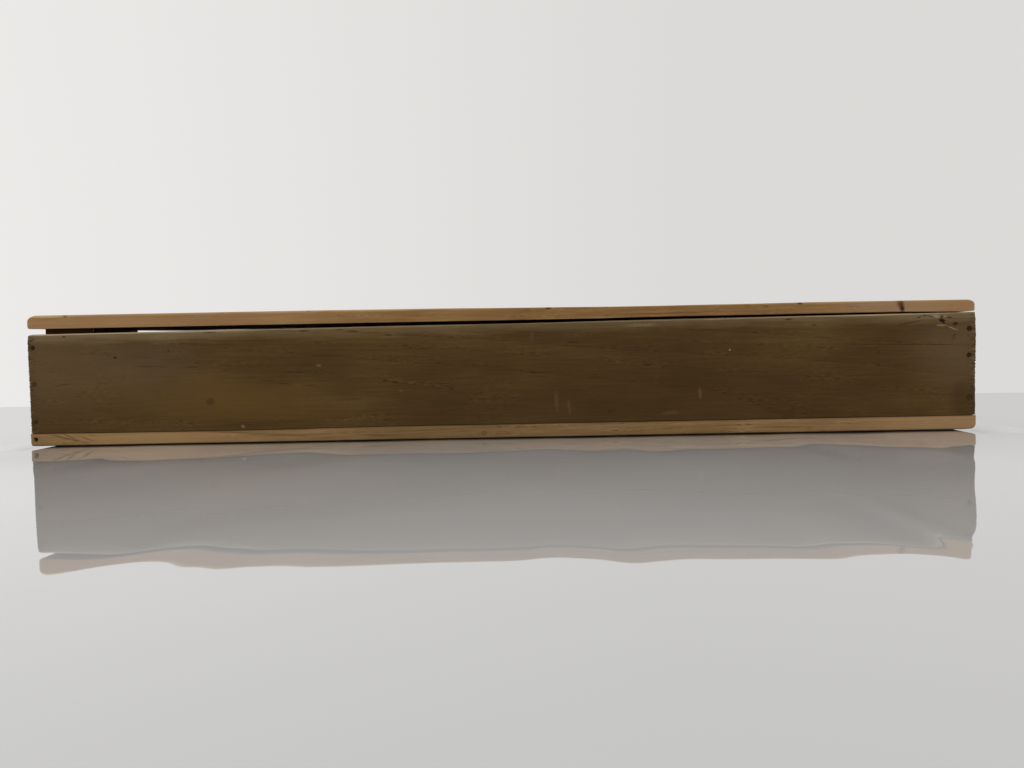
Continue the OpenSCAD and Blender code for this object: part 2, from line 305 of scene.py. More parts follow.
def skin(name, rings, seams=(), cavity=None, place=None, edge_reach=1.6):
    """A closed mesh from rings of points, with a fan at each end. Its attribute edge is 1 at free edges and
    falls off within edge_reach millimetres, seam does so at planes of (axis, level), where level may be a
    function of x, and inside is 1 within the cavity's two corners. place moves the finished points."""
    count, around = rings.shape[:2]
    points = np.concatenate([rings.reshape(-1, 3), rings[:1].mean(1), rings[-1:].mean(1)])
    grid = np.arange(count * around).reshape(count, around)
    after = np.roll(grid, -1, 1)
    quads = np.stack([grid[:-1], after[:-1], after[1:], grid[1:]], -1).reshape(-1, 4)
    low_fan = np.stack([np.full(around, grid.size), after[0], grid[0]], -1)
    high_fan = np.stack([np.full(around, grid.size + 1), grid[-1], after[-1]], -1)
    faces = quads.tolist() + low_fan.tolist() + high_fan.tolist()
    to_face = np.sort(np.minimum(points - points.min(0), points.max(0) - points), axis=1)
    edge = np.exp(-to_face[:, 1] / (edge_reach * MM))
    seam = np.zeros(len(points))
    for axis, level in seams:
        apart = np.abs(points[:, axis] - (level(points[:, 0]) if callable(level) else level))
        seam = np.maximum(seam, np.exp(-apart / (0.7 * MM)))
        edge *= smooth(apart / (4 * MM))
    inside = np.zeros(len(points))
    if cavity is not None:
        room = np.minimum(points - np.array(cavity[0]) * MM, np.array(cavity[1]) * MM - points).min(1)
        inside = smooth(0.5 + room / (1.5 * MM))
    if place:
        points = place(points)
    return mesh_object(name, points, faces, 40, edge=edge, seam=seam, inside=inside)


def dress(piece, body, node, material):
    """Gives a piece its material, and lets it ride and stand for its CAD node."""
    piece.data.materials.clear()
    piece.data.materials.append(material)
    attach(piece, body)
    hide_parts(node)


def worn(node, body, slot, rings, material, **settings):
    """Makes and dresses the worn board that stands for a CAD node."""
    dress(skin(f"{node}_worn", rings, **settings), body, node, material)


def turned_about_z(points, degrees):
    """The points turned about the upright axis."""
    cos, sin = math.cos(math.radians(degrees)), math.sin(math.radians(degrees))
    return points @ np.array([[cos, sin, 0], [-sin, cos, 0], [0, 0, 1]])


def lid_placed(points):
    """Points of the lid's own frame, with its origin in the middle of the underside, set in place."""
    cos, sin = math.cos(LID_TILT), math.sin(LID_TILT)
    height = CLEAT_HIGH[2] - math.tan(LID_TILT) * (LID_MIDDLE - CLEAT_LOW[0])
    return points @ np.array([[cos, 0, -sin], [0, 1, 0], [sin, 0, cos]]) + (LID_MIDDLE, 0, height)


# Materials


def add(tree, kind, inputs=None, out=0, **settings):
    """Adds a shader node and returns its output out, a name or a number. inputs gives sockets, by name or
    in their order, a value or the socket that feeds them. MapRange has a value and the ends of two ranges."""
    node = tree.nodes.new("ShaderNode" + kind)
    for name, value in settings.items():
        setattr(node, name, value)
    named = inputs if isinstance(inputs, dict) else dict(enumerate(inputs or ()))
    for name, value in named.items():
        if isinstance(value, bpy.types.NodeSocket):
            tree.links.new(value, node.inputs[name])
        else:
            node.inputs[name].default_value = value
    return node.outputs[out] if node.outputs else None


def new_material(name):
    """An empty material and its node tree."""
    material = bpy.data.materials.new(name)
    material.use_nodes = True
    material.node_tree.nodes.clear()
    return material, material.node_tree


def total(tree, start, *terms):
    """start plus the sum of each term's socket times its weight."""
    value = start
    for socket, weight in terms:
        value = add(tree, "Math", [socket, weight, value], operation="MULTIPLY_ADD")
    return value


def tinted(tree, factor, under, over):
    """One colour laid over another by a factor."""
    return add(tree, "Mix", {"Factor": factor, "A": under, "B": over}, "Result", data_type="RGBA")


def blots(tree, shade, at, rows, y, deep, soft=0.6):
    """Lays soft ellipsoids of colour over a shade, at y and deep millimetres deep. Each row gives x, z and
    the radii across and up in millimetres, the colour, its strength and any tilt in degrees."""
    for x, z, across, up, code, strength, *tilt in rows:
        local = add(tree, "Mapping", {
            "Vector": at, "Location": (x * MM, y, z * MM), "Rotation": (0, -math.radians(sum(tilt)), 0),
            "Scale": (across * MM, deep * MM, up * MM),
        }, vector_type="TEXTURE")
        apart = add(tree, "VectorMath", [local], "Value", operation="LENGTH")
        within = add(tree, "MapRange", [apart, 1, 1 - soft, 0, strength], interpolation_type="SMOOTHSTEP")
        shade = tinted(tree, within, shade, srgb(code))
    return shade


def ramp_of(tree, level, tones):
    """A dark, a middle and a light tone, spread over a level from 0.2 to 0.8."""
    ramp = add(tree, "ValToRGB", {"Fac": level})
    stops = ramp.node.color_ramp.elements
    stops.new(0.5)
    for stop, position, tone in zip(stops, (0.2, 0.5, 0.8), tones):
        stop.position, stop.color = position, tone
    return ramp


def noise(tree, at, scale, detail, rough=0.5, out=0):
    """Noise on places stretched by a scale along each axis."""
    at = add(tree, "Mapping", {"Vector": at, "Scale": scale})
    return add(tree, "TexNoise", {"Vector": at, "Scale": 1, "Detail": detail, "Roughness": rough}, out)


def shaken(tree, at, scale, detail, reach):
    """Places moved by noise, by up to half the reach each way."""
    sway = noise(tree, at, scale, detail, out="Color")
    sway = add(tree, "VectorMath", [sway, (-0.5, -0.5, -0.5)], operation="ADD")
    return add(tree, "VectorMath", [sway, reach, at], operation="MULTIPLY_ADD")


def wood(name, kind, pith, tilt, ring=4 * MM, along="X", seed=0, overlay=None):
    """Old hand-planed paulownia: rings round a pith off the board, fibres, pore dashes that crowd at each
    ring's start, dust in some pores, worn edges and seams darkened by dirt, and on the bottom board's
    underside by painted shade. pith is where the pith passes the origin, tilt its slope and ring the ring
    width, in metres."""
    walled = kind == "wall"
    material, tree = new_material(name)
    place = add(tree, "TexCoord", out="Object")
    turn = 0 if along == "X" else -math.pi / 2
    grain = add(tree, "Mapping", {"Vector": place, "Rotation": (0, 0, turn), "Location": (seed, 0, 0)})
    # Rings waver over some 150 mm along the grain and 40 mm across it
    bent = shaken(tree, grain, (7, 26, 26), 3, (0, ring, ring))
    home = add(tree, "Mapping", {"Vector": bent, "Location": (-seed, 0, 0)})
    trunk = add(tree, "Mapping", {"Vector": home, "Rotation": (0, *tilt), "Location": (0, *pith)})
    trunk = add(tree, "VectorMath", [trunk, (0, 1 / ring, 1 / ring)], operation="MULTIPLY")
    rings = add(tree, "VectorMath", [trunk], "Value", operation="LENGTH")
    number = add(tree, "Math", [rings], operation="FLOOR")
    ring_tone = add(tree, "TexWhiteNoise", {"W": number}, noise_dimensions="1D")
    late = total(tree, 1, (add(tree, "Math", [rings], operation="FRACT"), -1))
    start, line = (add(tree, "Math", [late, power], operation="POWER") for power in (4, 16))
    # Fibres about 1 mm across and 30 mm long
    fibre = noise(tree, bent, (30, 900, 900), 4, 0.65)
    # Pores are 0.2 mm wide; they are drawn 0.6 mm wide and 3 mm long, so that they show
    pores = noise(tree, bent, (260, 1500, 1500), 1)
    # Cloudy stains some 100 mm long, and smaller ones of 20 mm
    cloud = noise(tree, grain, (9, 26, 26), 2)
    patch = noise(tree, grain, (35, 90, 90), 3, 0.6)
    # Pores show where a ring starts and a stain has filled them
    filled = add(tree, "MapRange", [patch, 0.4, 0.6])
    crowd = total(tree, 0, (filled, total(tree, 0.15, (start, 0.85))))
    dark_pores, dusty_pores = (
        add(tree, "MapRange", [pores, none, full, 0, crowd])
        for none, full in ((0.55, 0.68), (0.44, 0.34))
    )
    fibrous = 0.45 if walled else 0.65
    level = total(
        tree, 0.085 - fibrous / 2, (fibre, fibrous), (cloud, 0.55), (patch, 0.25), (ring_tone, 0.06),
        (line, -0.05 if walled else -0.13), (dark_pores, -0.42), (dusty_pores, 0.22),
    )
    shade = ramp_of(tree, level, wood_tones(kind))
    if overlay:
        shade = overlay(tree, shade, place, fibre, patch)
    inside, edge, seam = (
        add(tree, "Attribute", out="Fac", attribute_name=word) for word in ("inside", "edge", "seam"))
    shade = tinted(tree, inside, shade, ramp_of(tree, level, wood_tones("inner")))
    rub = total(tree, -0.2, (fibre, 0.6), (patch, 0.8), (cloud, 0.2))
    rubbed = add(tree, "MapRange", [total(tree, 0, (rub, edge)), 0.2, 0.6, 0, 0.85])
    shade = tinted(tree, rubbed, shade, paint("worn_wall" if walled else "worn_board"))
    # Dirt darkens the seams; at the bottom board's underside this darkening is painted shade
    seam_dirt_and_shade_share = add(tree, "MapRange", [seam, 0.25, 1, 0, 0.85 if walled else 0.5])
    shade = tinted(tree, seam_dirt_and_shade_share, shade, paint("seam_dirt_and_shade"))
    height = total(tree, 0, (fibre, 1), (line, -0.5), (dark_pores, -0.9), (patch, 0.6))
    gloss = add(tree, "MapRange", [cloud, 0.3, 0.7, 0.64, 0.78])
    surface = add(tree, "BsdfPrincipled", {
        "Base Color": shade, "Roughness": gloss, "IOR": 1.45,
        "Normal": add(tree, "Bump", {"Height": height, "Strength": 0.5, "Distance": 0.25 * MM}),
        "Specular IOR Level": 0.08 if kind in ("wall", "peg") else 0.15,
    })
    add(tree, "OutputMaterial", {"Surface": surface})
    return material


# Broad tones of the front wall: x, z, radii across and up in millimetres, colour, strength and any tilt
FRONT_TONES = (
    (-175, 28, 130, 26, "#684d25", 0.5, -6),
    (-290, 50, 90, 46, "#665339", 0.5),
    (110, 22, 230, 46, "#3d2a13", 0.6),
    (300, 50, 50, 40, "#645139", 0.6),
    (-222, 50, 55, 34, "#5b5040", 0.25),
)
# Small marks of the front wall, in the same form
FRONT_MARKS = (
    (-245, 57, 1.6, 1.1, "#2a1a0c", 0.9), (-209.5, 60.5, 1.2, 0.9, "#33230f", 0.7),
    (-279, 71.5, 1.6, 1, "#33230f", 0.8), (-300.5, 69.6, 4, 0.6, "#2a1d0e", 0.75, 30),
    (-303.6, 64.9, 2.4, 1.6, "#20150a", 0.85), (297, 18, 12, 16, "#35260f", 0.4),
    (-183, 27, 3.4, 3.2, "#3b2a15", 0.5), (-182, 72, 6, 0.8, "#3b2a15", 0.6),
    (-120, 71.5, 5, 0.8, "#3b2a15", 0.7), (-97, 72, 3.5, 0.7, "#3b2a15", 0.6),
    (-88, 70.5, 4.5, 0.7, "#3b2a15", 0.7, -4), (-65, 67.5, 3, 0.7, "#33230f", 0.7, -6),
    (-162, 10.5, 1.8, 1.2, "#8a7458", 0.7), (-111, 49, 2.6, 1.1, "#74603f", 0.6),
    (-58, 31.5, 1.6, 0.9, "#6f5a3c", 0.5), (28, 41.5, 10, 0.8, "#33230f", 0.6),
    (42, 23, 2.2, 9, "#5c4a36", 0.45, 2), (50, 18.5, 1.4, 7, "#5c4a36", 0.45, 6),
    (27, 65, 1.6, 5, "#5c4a36", 0.35), (97, 70, 13, 1.4, "#82735a", 0.38),
    (152, 53.2, 0.8, 0.8, "#a8894c", 0.9), (133, 26, 1.4, 5, "#65533c", 0.5, 4),
    (114.5, 14, 8, 2, "#5f4c34", 0.4, 4), (54, 60.3, 6, 0.8, "#33230f", 0.6),
    (76, 15.8, 3, 2, "#33230f", 0.35), (-222, 50.7, 15, 0.5, "#33230f", 0.45, -1),
    (-194, 49.7, 7, 0.7, "#33230f", 0.4), (-172, 47, 4, 0.7, "#33230f", 0.4, 2),
    (-155, 42.5, 5, 0.5, "#33230f", 0.5, -10), (-145, 39.7, 6, 0.5, "#33230f", 0.55, -10),
    (-134, 37.7, 6, 0.6, "#33230f", 0.45, -6), (-117, 36.4, 8, 0.5, "#33230f", 0.4, -1),
    (-150, 12.3, 42, 2.2, "#33230f", 0.3, 1.5), (-281, 40, 9, 0.5, "#33230f", 0.5, 6),
    (189, 71.5, 3.2, 0.8, "#22160b", 0.85, 6), (204.5, 67.5, 2.6, 0.8, "#2e2010", 0.7),
    (262, 54, 55, 0.35, "#2e2010", 0.75, -1.2), (238.6, 52.2, 9, 0.5, "#33230f", 0.4),
    (264, 67.6, 11, 0.9, "#33230f", 0.5, 10), (279, 71.7, 4.5, 0.7, "#a08b68", 0.8, 2),
    (280.6, 70.7, 2.2, 0.5, "#a08b68", 0.7, -8), (285.8, 71.2, 2, 0.5, "#8f7b5a", 0.7, 12),
    (269.3, 70.8, 2.2, 0.6, "#22160b", 0.8, 18), (273.4, 71.8, 2.6, 0.6, "#1c1108", 0.85, 4),
    (276.8, 71.1, 2.4, 0.5, "#22160b", 0.8, -6), (283.2, 70.8, 1, 0.9, "#22160b", 0.8, 30),
    (287.8, 70.3, 2.6, 0.6, "#22160b", 0.75, -10), (283.4, 68.3, 2.4, 1.7, "#150c05", 0.95, -10),
    (284.3, 67, 1.8, 0.6, "#241808", 0.8, -40), (291.5, 66.2, 2.4, 1.8, "#33220e", 0.8),
    (290.6, 58.2, 1.2, 3.6, "#33230f", 0.4, -12), (283.3, 65.4, 3.4, 0.9, "#897555", 0.6, -2),
    (280.8, 65.5, 1.8, 0.7, "#8f7b57", 0.4, 4), (289.8, 63.5, 4.6, 0.45, "#a08a64", 0.75, -23),
)
# Broad tones of the back wall, in the same form
BACK_TONES = ((140, 36, 150, 28, "#5f451f", 0.5, 3), (-220, 30, 90, 40, "#46331b", 0.5, 3))


def old_front(tree, shade, place, fibre, patch):
    """The front wall's own stains, scars and dusty upper edge."""
    at = shaken(tree, place, (700, 700, 700), 2, (1.4 * MM,) * 3)
    shade = blots(tree, shade, place, FRONT_TONES, FACE_Y, 4, 0.9)
    shade = dusty_top(tree, shade, place, fibre, patch)
    shade = frayed(tree, shade, place)
    shade = blots(tree, shade, at, FRONT_MARKS, FACE_Y, 2)
    # Painted shade round the peg heads
    return peg_ring_shade(tree, shade, at, "front", FRONT)


def away(tree, place, middle=0):
    """Distance along the box from a place on it."""
    x = add(tree, "SeparateXYZ", [place], "X")
    return add(tree, "Math", [total(tree, -middle, (x, 1))], operation="ABSOLUTE")


def dusty_top(tree, shade, place, fibre, patch):
    """Dust and handling pale the last millimetres below a wall's top edge, along ragged fibres. The very
    edge is rubbed bare, most of all towards both ends."""
    z = add(tree, "SeparateXYZ", [place], "Z")
    thick = add(tree, "MapRange", [away(tree, place, 45 * MM), 180 * MM, 225 * MM, 0.42, 0.8])
    ragged = total(tree, -6.5 * MM, (z, 1), (patch, 7 * MM), (fibre, 6 * MM))
    dust = add(tree, "MapRange", [ragged, WALL_TOP - 8 * MM, WALL_TOP - 1 * MM, 0, thick])
    shade = tinted(tree, dust, shade, srgb("#79684b"))
    rubbed = add(tree, "MapRange", [away(tree, place), 130 * MM, 250 * MM, 0.35])
    edge = total(tree, -0.5 * MM, (z, 1), (fibre, 1 * MM))
    edge = add(tree, "MapRange", [edge, WALL_TOP - 1.1 * MM, WALL_TOP - 0.6 * MM, 0, rubbed])
    return tinted(tree, edge, shade, srgb("#b09c7c"))


def frayed(tree, shade, place):
    """Sawn fibre ends roughen the last millimetres of a wall into dark and pale lines."""
    near = add(tree, "MapRange", [away(tree, place), HALF_LEN - 6 * MM, HALF_LEN - 1 * MM, 0, 0.55])
    stripes = total(tree, -0.75, (noise(tree, place, (250, 250, 1000), 2), 2.5))
    tones = [srgb(code) for code in ("#2c2011", "#4c3b24", "#6c5a3d")]
    return tinted(tree, near, shade, ramp_of(tree, stripes, tones))


def peg_ring_shade(tree, shade, at, side, way):
    """Dark soft rings of painted shade round the heads of the corner pegs."""
    for end in ENDS:
        heads = peg_heads(f"{side}_{end}_corner_pegs", 1, way)
        rows = [(x / MM, z / MM, 2.9, 2.5, "#2c1f0e", 0.5) for x, y, z in heads]
        shade = blots(tree, shade, at, rows, heads[0][1], 3, 0.8)
    return shade


def dulled_heads(tree, shade, place, fibre, patch):
    """Three of the front wall's pegs have worn to nearly the wall's own tone."""
    left, right = (
        sorted(peg_heads(f"front_{end}_corner_pegs", 1, FRONT), key=lambda head: head[2])
        for end in ENDS
    )
    rows = [
        (head[0] / MM, head[2] / MM, 2, 2, "#4d3c27", strength)
        for head, strength in ((left[0], 0.5), (left[1], 0.7), (right[0], 0.45))
    ]
    return blots(tree, shade, place, rows, left[0][1], 2, 0.4)


def old_back(tree, shade, place, fibre, patch):
    """The back wall's golden stain, dusty upper edge and painted shade round its peg heads."""
    shade = blots(tree, shade, place, BACK_TONES, -FACE_Y, 4, 0.9)
    shade = dusty_top(tree, shade, place, fibre, patch)
    # Painted shade round the peg heads
    return peg_ring_shade(tree, shade, place, "back", BACK)


# Broad tones of the lid: x, radius along it, colour and strength, first deep ones and then those of its front
LID_ENDS = ((-300, 280, "#a37f58", 0.6), (310, 120, "#a37f58", 0.6))
LID_TONES = (
    (-240, 35, "#b08b60", 0.15), (-127, 35, "#b08b60", 0.17), (-75, 30, "#4a3416", 0.13),
    (-22, 30, "#b08b60", 0.2), (28, 28, "#4a3416", 0.15), (80, 32, "#4a3416", 0.12),
    (182, 30, "#4a3416", 0.13), (252, 45, "#a99c8c", 0.13),
)
# The painted highlight and painted shade on its left rounding, its knot streak and the places of its nicks
LID_ROUNDING_HIGHLIGHT_AND_SHADE = ((-291, 84.8, 22, 1, "#c4a376", 0.6, -1), (-292, 82.9, 12, 0.6, "#73532f", 0.3, -1))
LID_KNOT = (
    (257.6, 79.8, 3.6, 3.6, "#6d4c29", 0.75, 8), (258.5, 77.8, 2.5, 6, "#452a10", 0.85, 12),
    (259, 76.4, 1.7, 2.4, "#2b1606", 0.85, 12),
)
LID_NICKS = ((-277.3, 85.2), (-116.7, 84.8), (38, 82.7), (196, 81.7))


def lid_stain(tree, shade, place, fibre, patch):
    """The lid is paler towards both ends, and its left rounding has a painted highlight over a painted shade.
    A dark knot streak runs through its front edge near the right end, and its nicks are darkened."""
    for tones, deep in ((LID_ENDS, 300), (LID_TONES, 14)):
        rows = [(x, 78, across, 60, code, strength) for x, across, code, strength in tones]
        shade = blots(tree, shade, place, rows, FACE_Y, deep, 0.9)
    # Painted highlight on the left rounding, with painted shade below it
    shade = blots(tree, shade, place, LID_ROUNDING_HIGHLIGHT_AND_SHADE, FACE_Y, 5, 0.8)
    # The nicks are darkened
    rows = [(x, z, 2.2, 1.5, "#120a04", 1) for x, z in LID_NICKS]
    shade = blots(tree, shade, place, rows, FACE_Y, 3)
    return blots(tree, shade, place, LID_KNOT, FACE_Y, 7, 0.8)


# Broad tones of the bottom board's front edge: x, radius along it, colour and strength, in millimetres
BOARD_TONES = (
    (-225, 110, "#a7855a", 0.7), (-69, 45, "#6f5734", 0.5), (-18, 60, "#775f3c", 0.4),
    (285, 85, "#a98760", 0.68), (85, 40, "#5f4a2c", 0.14),
)
# Its dark grain streaks: x, z, half length, tilt and half width, in millimetres and degrees
BOARD_STREAKS = (
    (-280.5, 5, 19, -14, 0.9), (-272, 3, 12, -14, 0.7), (-277.5, 5.9, 9, -23, 0.8),
    (-266, 4.4, 11, -19, 0.6), (-168, 6.8, 30, -2, 0.8), (-140, 4.6, 34, -3, 0.9),
    (-72, 3, 24, -2, 1.1), (185, 3.6, 30, -1, 0.8),
)


def board_streaks(tree, shade, place, fibre, patch):
    """Dark grain streaks along the bottom board's front edge, a small knot near its middle, and painted shade
    inside its open peg hole.
    """
    front = BASE_LOW[1]
    rows = [(x, 4, across, 60, code, strength) for x, across, code, strength in BOARD_TONES]
    shade = blots(tree, shade, place, rows, 0, 200, 0.9)
    ragged = add(tree, "MapRange", [fibre, 0.35, 0.6, 0.3])
    rows = [(x, z, across, wide, "#5f4623", 0.85, tilt) for x, z, across, tilt, wide in BOARD_STREAKS]
    shade = tinted(tree, ragged, shade, blots(tree, shade, place, rows, front, 3, 0.9))
    shade = blots(tree, shade, place, [(-4.7, 3.2, 2, 1.8, "#4a3216", 0.6)], front, 3, 0.5)
    shade = blots(tree, shade, place, [(-4.7, 3.2, 1.1, 1, "#7d6038", 0.9)], front, 3, 0.4)
    # Painted shade inside the open peg hole
    hole = (HOLE_X / MM, HOLE_Z / MM, 1.8, 1.8, "#0c0703", 1)
    return blots(tree, shade, place, [hole], front + 6.5 * MM, 7, 0.3)


def cleat_painted_shade(inner_x):
    """Painted shade darkens a cleat's front end and its inner side, which lies at inner_x."""
    def overlay(tree, shade, place, fibre, patch):
        split = add(tree, "SeparateXYZ", [place]).node.outputs
        # Painted shade towards the cleat's front end
        near = add(tree, "MapRange", [split["Y"], -24 * MM, -29 * MM, 0, 0.95])
        shade = tinted(tree, near, shade, srgb("#3c2609"))
        # Painted shade on the cleat's inner side face
        side = add(tree, "Math", [split["X"], inner_x, 0.4 * MM], operation="COMPARE")
        return tinted(tree, total(tree, 0, (side, 0.8)), shade, srgb("#1f150b"))
    return overlay


def wood_tones(kind):
    """Dark, middle and light tone of one kind of board."""
    return [paint(f"{kind}_{word}") for word in TONE_WORDS]


# Pieces


def even(cuts):
    """Fractions that cut a stretch into equal parts."""
    return np.linspace(0, 1, cuts + 1)[1:-1]


def long_wall(face):
    """Rings of a long wall as it stands at the front. Its outer face draws in at the upright corners and
    leans back along an arc at the top. Its ends are torn, its foot follows the bottom board, and round
    dimples take the peg heads."""
    sizes = box_sizes()
    at_front = face == FRONT
    side = "front" if at_front else "back"
    heads = [head for end in ENDS for head in peg_heads(f"{side}_{end}_corner_pegs", 1, face)]
    heads = [(face * -head[0], head[2]) for head in heads]
    peg_x = sorted({round(x, 5) for x, z in heads})
    scarred = (276 * MM, 283 * MM, 291 * MM) if at_front else ()
    x = places(-HALF_LEN, HALF_LEN, 3 * MM, 0.45 * MM, (-HALF_LEN, HALF_LEN, *peg_x, *scarred), 4 * MM)
    rows = int((WALL_TOP - WALL_FOOT) / (0.5 * MM)) + 1
    outer = FACE_Y + quarter(HALF_LEN - np.abs(x), sizes.corner)
    thick = WALL_HIGH[1] - WALL_LOW[1]
    foot, top = board_top(x), WALL_TOP - round_drop(x + HALF_LEN, 4 * MM, 1.1 * MM)
    if at_front:
        # Its top edge is worn a little near the middle, and its foot is chipped at the right end
        top = top - 0.3 * MM * np.exp(-(((x - 18 * MM) / (50 * MM)) ** 2))
        foot = foot + 0.5 * MM * smooth((x - HALF_LEN + 4 * MM) / (2 * MM))
    rings = capped(sections(
        x, (outer, FACE_Y + thick), (foot, top), (0.2 * MM, 0.2 * MM, 0.5 * MM, sizes.wall_arris),
        [even(rows), even(7), even(23), even(7)],
    ))
    rise = np.clip(rings[..., 2] - (WALL_TOP - sizes.soft_height), 0, None)
    lean = sizes.soft_radius - np.sqrt(sizes.soft_radius ** 2 - rise ** 2)
    rings[..., 1] += lean * np.clip(1 - (rings[..., 1] - FACE_Y) / thick * 1.3, 0, 1)
    rings = torn_ends(rings, face, sizes.tear)
    if at_front:
        rings = dent(rings, FACE_Y + 0.4 * MM, (274.5, 71.6), (9, 1.3), 0.7)
        rings = dent(rings, FACE_Y, (282.6, 68.4), (2.6, 2), 0.8)
        rings = dent(rings, FACE_Y, (291.5, 65.7), (2.2, 1.8), 0.6)
    for head in heads:
        rings = drill(rings, FACE_Y, head, sizes.peg * 1.2, 0.5 * MM)
    return rings


def torn_ends(rings, face, depth):
    """Pushes a long wall's ends in and out by fine waves of the height, as torn fibres 1.7 mm apart do. The
    front wall's right end stands a little proud."""
    near = np.exp(-(HALF_LEN - np.abs(rings[..., 0])) / (1.2 * MM))
    side = np.sign(rings[..., 0])
    z = rings[..., 2] + side * 7 * MM
    teeth = waver(z, 1.7 * MM, 12 + face, 1) * smooth((70 * MM - rings[..., 2]) / (12 * MM))
    push = depth * (0.2 + 0.3 * waver(z, 6 * MM, 11 + face, 2) + teeth)
    proud = through(rings[..., 2], ((8, 0.1), (34, 0.1), (44, 0.55), (74, 0.55)))
    rings[..., 0] += side * near * (np.where(side * -face > 0, proud, 0) - push)
    return rings


# Bows of the lid, as knots of place and height in millimetres: how far its top bows up, how far its lower
# front edge rises, and how far its lower back edge sags between the cleats
LID_BOW = ((-304, 0), (-110, 0.3), (-40, 0.2), (30, -0.25), (90, -0.5), (150, -0.2), (215, 0.2), (304, 0.2))
LID_RISE = ((-304, -0.3), (60, -0.15), (120, 0.35), (250, 0.5), (296, 0), (304, 0))
LID_SAG = (
    (-304, 0), (-290, 0), (-225, 1), (-195, 0.8), (-171, 0.85), (-140, 1.1), (0, 1), (150, 0), (304, 0))


def lid_rings():
    """Rings of the lid in its own frame. It thins evenly to the right and rounds over at both ends, its
    underside sags at the back between the cleats, and nicks widen the rounding of its front top edge."""
    sizes = box_sizes()
    half = (LID_HIGH[0] - LID_LOW[0]) / 2
    wide = (LID_HIGH[1] - LID_LOW[1]) / 2
    nicks = ((-276.5, 1.2), (-116.5, 1), (41.5, 0.9), (197, 0.9))
    x = places(-half, half, 3 * MM, 0.4 * MM, (-half, half, *(nick * MM for nick, run in nicks)), 4 * MM)
    left, right = x + half, half - x
    top = sizes.lid_left_thick + (sizes.lid_right_thick - sizes.lid_left_thick) * left / (2 * half)
    top = top - round_drop(left, sizes.lid_left_run, sizes.lid_left_drop)
    top = top - round_drop(right, sizes.lid_right_run, sizes.lid_right_drop)
    bottom = 1.9 * quarter(left, 2 * MM) + quarter(right, 1 * MM)
    bottom = bottom + sizes.lid_under_rise * np.clip(1 - right / sizes.lid_under_run, 0, 1)
    draw = quarter(np.minimum(left, right), 2 * MM)
    top_edge = sizes.lid_arris * (1 + 0.25 * waver(x, 60 * MM, 3)) * (1.15 - 0.35 * left / (2 * half))
    cut = 0.15 * MM * sum(np.exp(-((x - nick * MM) / (run * MM)) ** 2) for nick, run in nicks)
    low_edge = sizes.lid_low_arris * (1 + 0.2 * waver(x, 40 * MM, 5))
    rings = capped(sections(
        x, (-wide + draw, wide - draw), (bottom, top), (low_edge, low_edge, top_edge, top_edge + cut),
        [even(14), even(34)] * 2,
    ))
    share = (rings[..., 1] + wide) / (2 * wide)
    under = rings[..., 2] < 2.5 * MM
    x = rings[..., 0]
    rings[..., 2] += np.where(under, through(x, LID_RISE) * smooth(1 - 5 * share), through(x, LID_BOW))
    rings[..., 2] -= through(x, LID_SAG) * smooth(share) * under
    return rings


def base_rings():
    """Rings of the bottom board, with round lower ends and an open peg hole in its front edge."""
    sizes = box_sizes()
    half = BASE_HIGH[0]
    x = places(-half, half, 3 * MM, 0.35 * MM, (-half, half, HOLE_X), 3.5 * MM)
    to_end = half - np.abs(x)
    draw = quarter(to_end, 1.6 * MM)
    low_edge = sizes.base_arris * (1 + 0.15 * waver(x, 70 * MM, 8))
    # The right end's underside also lifts a little towards its rounding
    bottom = quarter(x + half, sizes.base_left) + quarter(half - x, sizes.base_right)
    bottom = np.maximum(bottom, 0.7 * MM * np.clip(1 - (half - x) / (9 * MM), 0, 1) ** 1.5)
    rings = capped(sections(
        x, (BASE_LOW[1] + draw, BASE_HIGH[1] - draw), (bottom, board_top(x) - quarter(to_end, 0.4 * MM)),
        (low_edge, low_edge, 0.3 * MM, 0.3 * MM), [even(20), even(34), even(12), even(34)],
    ))
    return drill(rings, BASE_LOW[1], (HOLE_X, HOLE_Z), 1.55 * MM, 9 * MM)


def crosswise(side, y, box_x, top, radii, cuts):
    """Rings of a board across the box at one end, with stations along Y. box_x holds its low and high place
    at the left end, and cuts divides its height."""
    foot = board_top(np.array([side * HALF_LEN]))[0]
    rings = sections(y, (-box_x[1], -box_x[0]), (foot, top), radii, [even(cuts), even(8)] * 2)
    return turned_about_z(capped(rings), -90 * side)


def end_wall_rings(side):
    """Rings of an end wall, which stands between the long walls."""
    y = places(-END_HIGH[1], END_HIGH[1], 2 * MM)
    radii = (0.2 * MM, 0.2 * MM, 0.9 * MM, 0.4 * MM)
    return crosswise(side, y, (END_LOW[0], END_HIGH[0]), END_HIGH[2], radii, 60)


def rest_rings(side):
    """Rings of a roller rest. Its top dips in a half round, and the rims of the dip are eased."""
    r = box_sizes().notch
    y = places(-REST_HIGH[1], REST_HIGH[1], 1.5 * MM, 0.18 * MM, (-r, r), 1.6 * MM)
    dip = np.sqrt(np.clip(r ** 2 - y ** 2, 0, None))
    lip = np.clip(1 * MM - np.abs(np.abs(y) - r), 0, None)
    top = REST_HIGH[2] - np.maximum(dip, np.where(np.abs(y) > r, lip, 0))
    return crosswise(side, y, (REST_LOW[0], REST_HIGH[0]), top, (0.3 * MM,) * 4, 30)


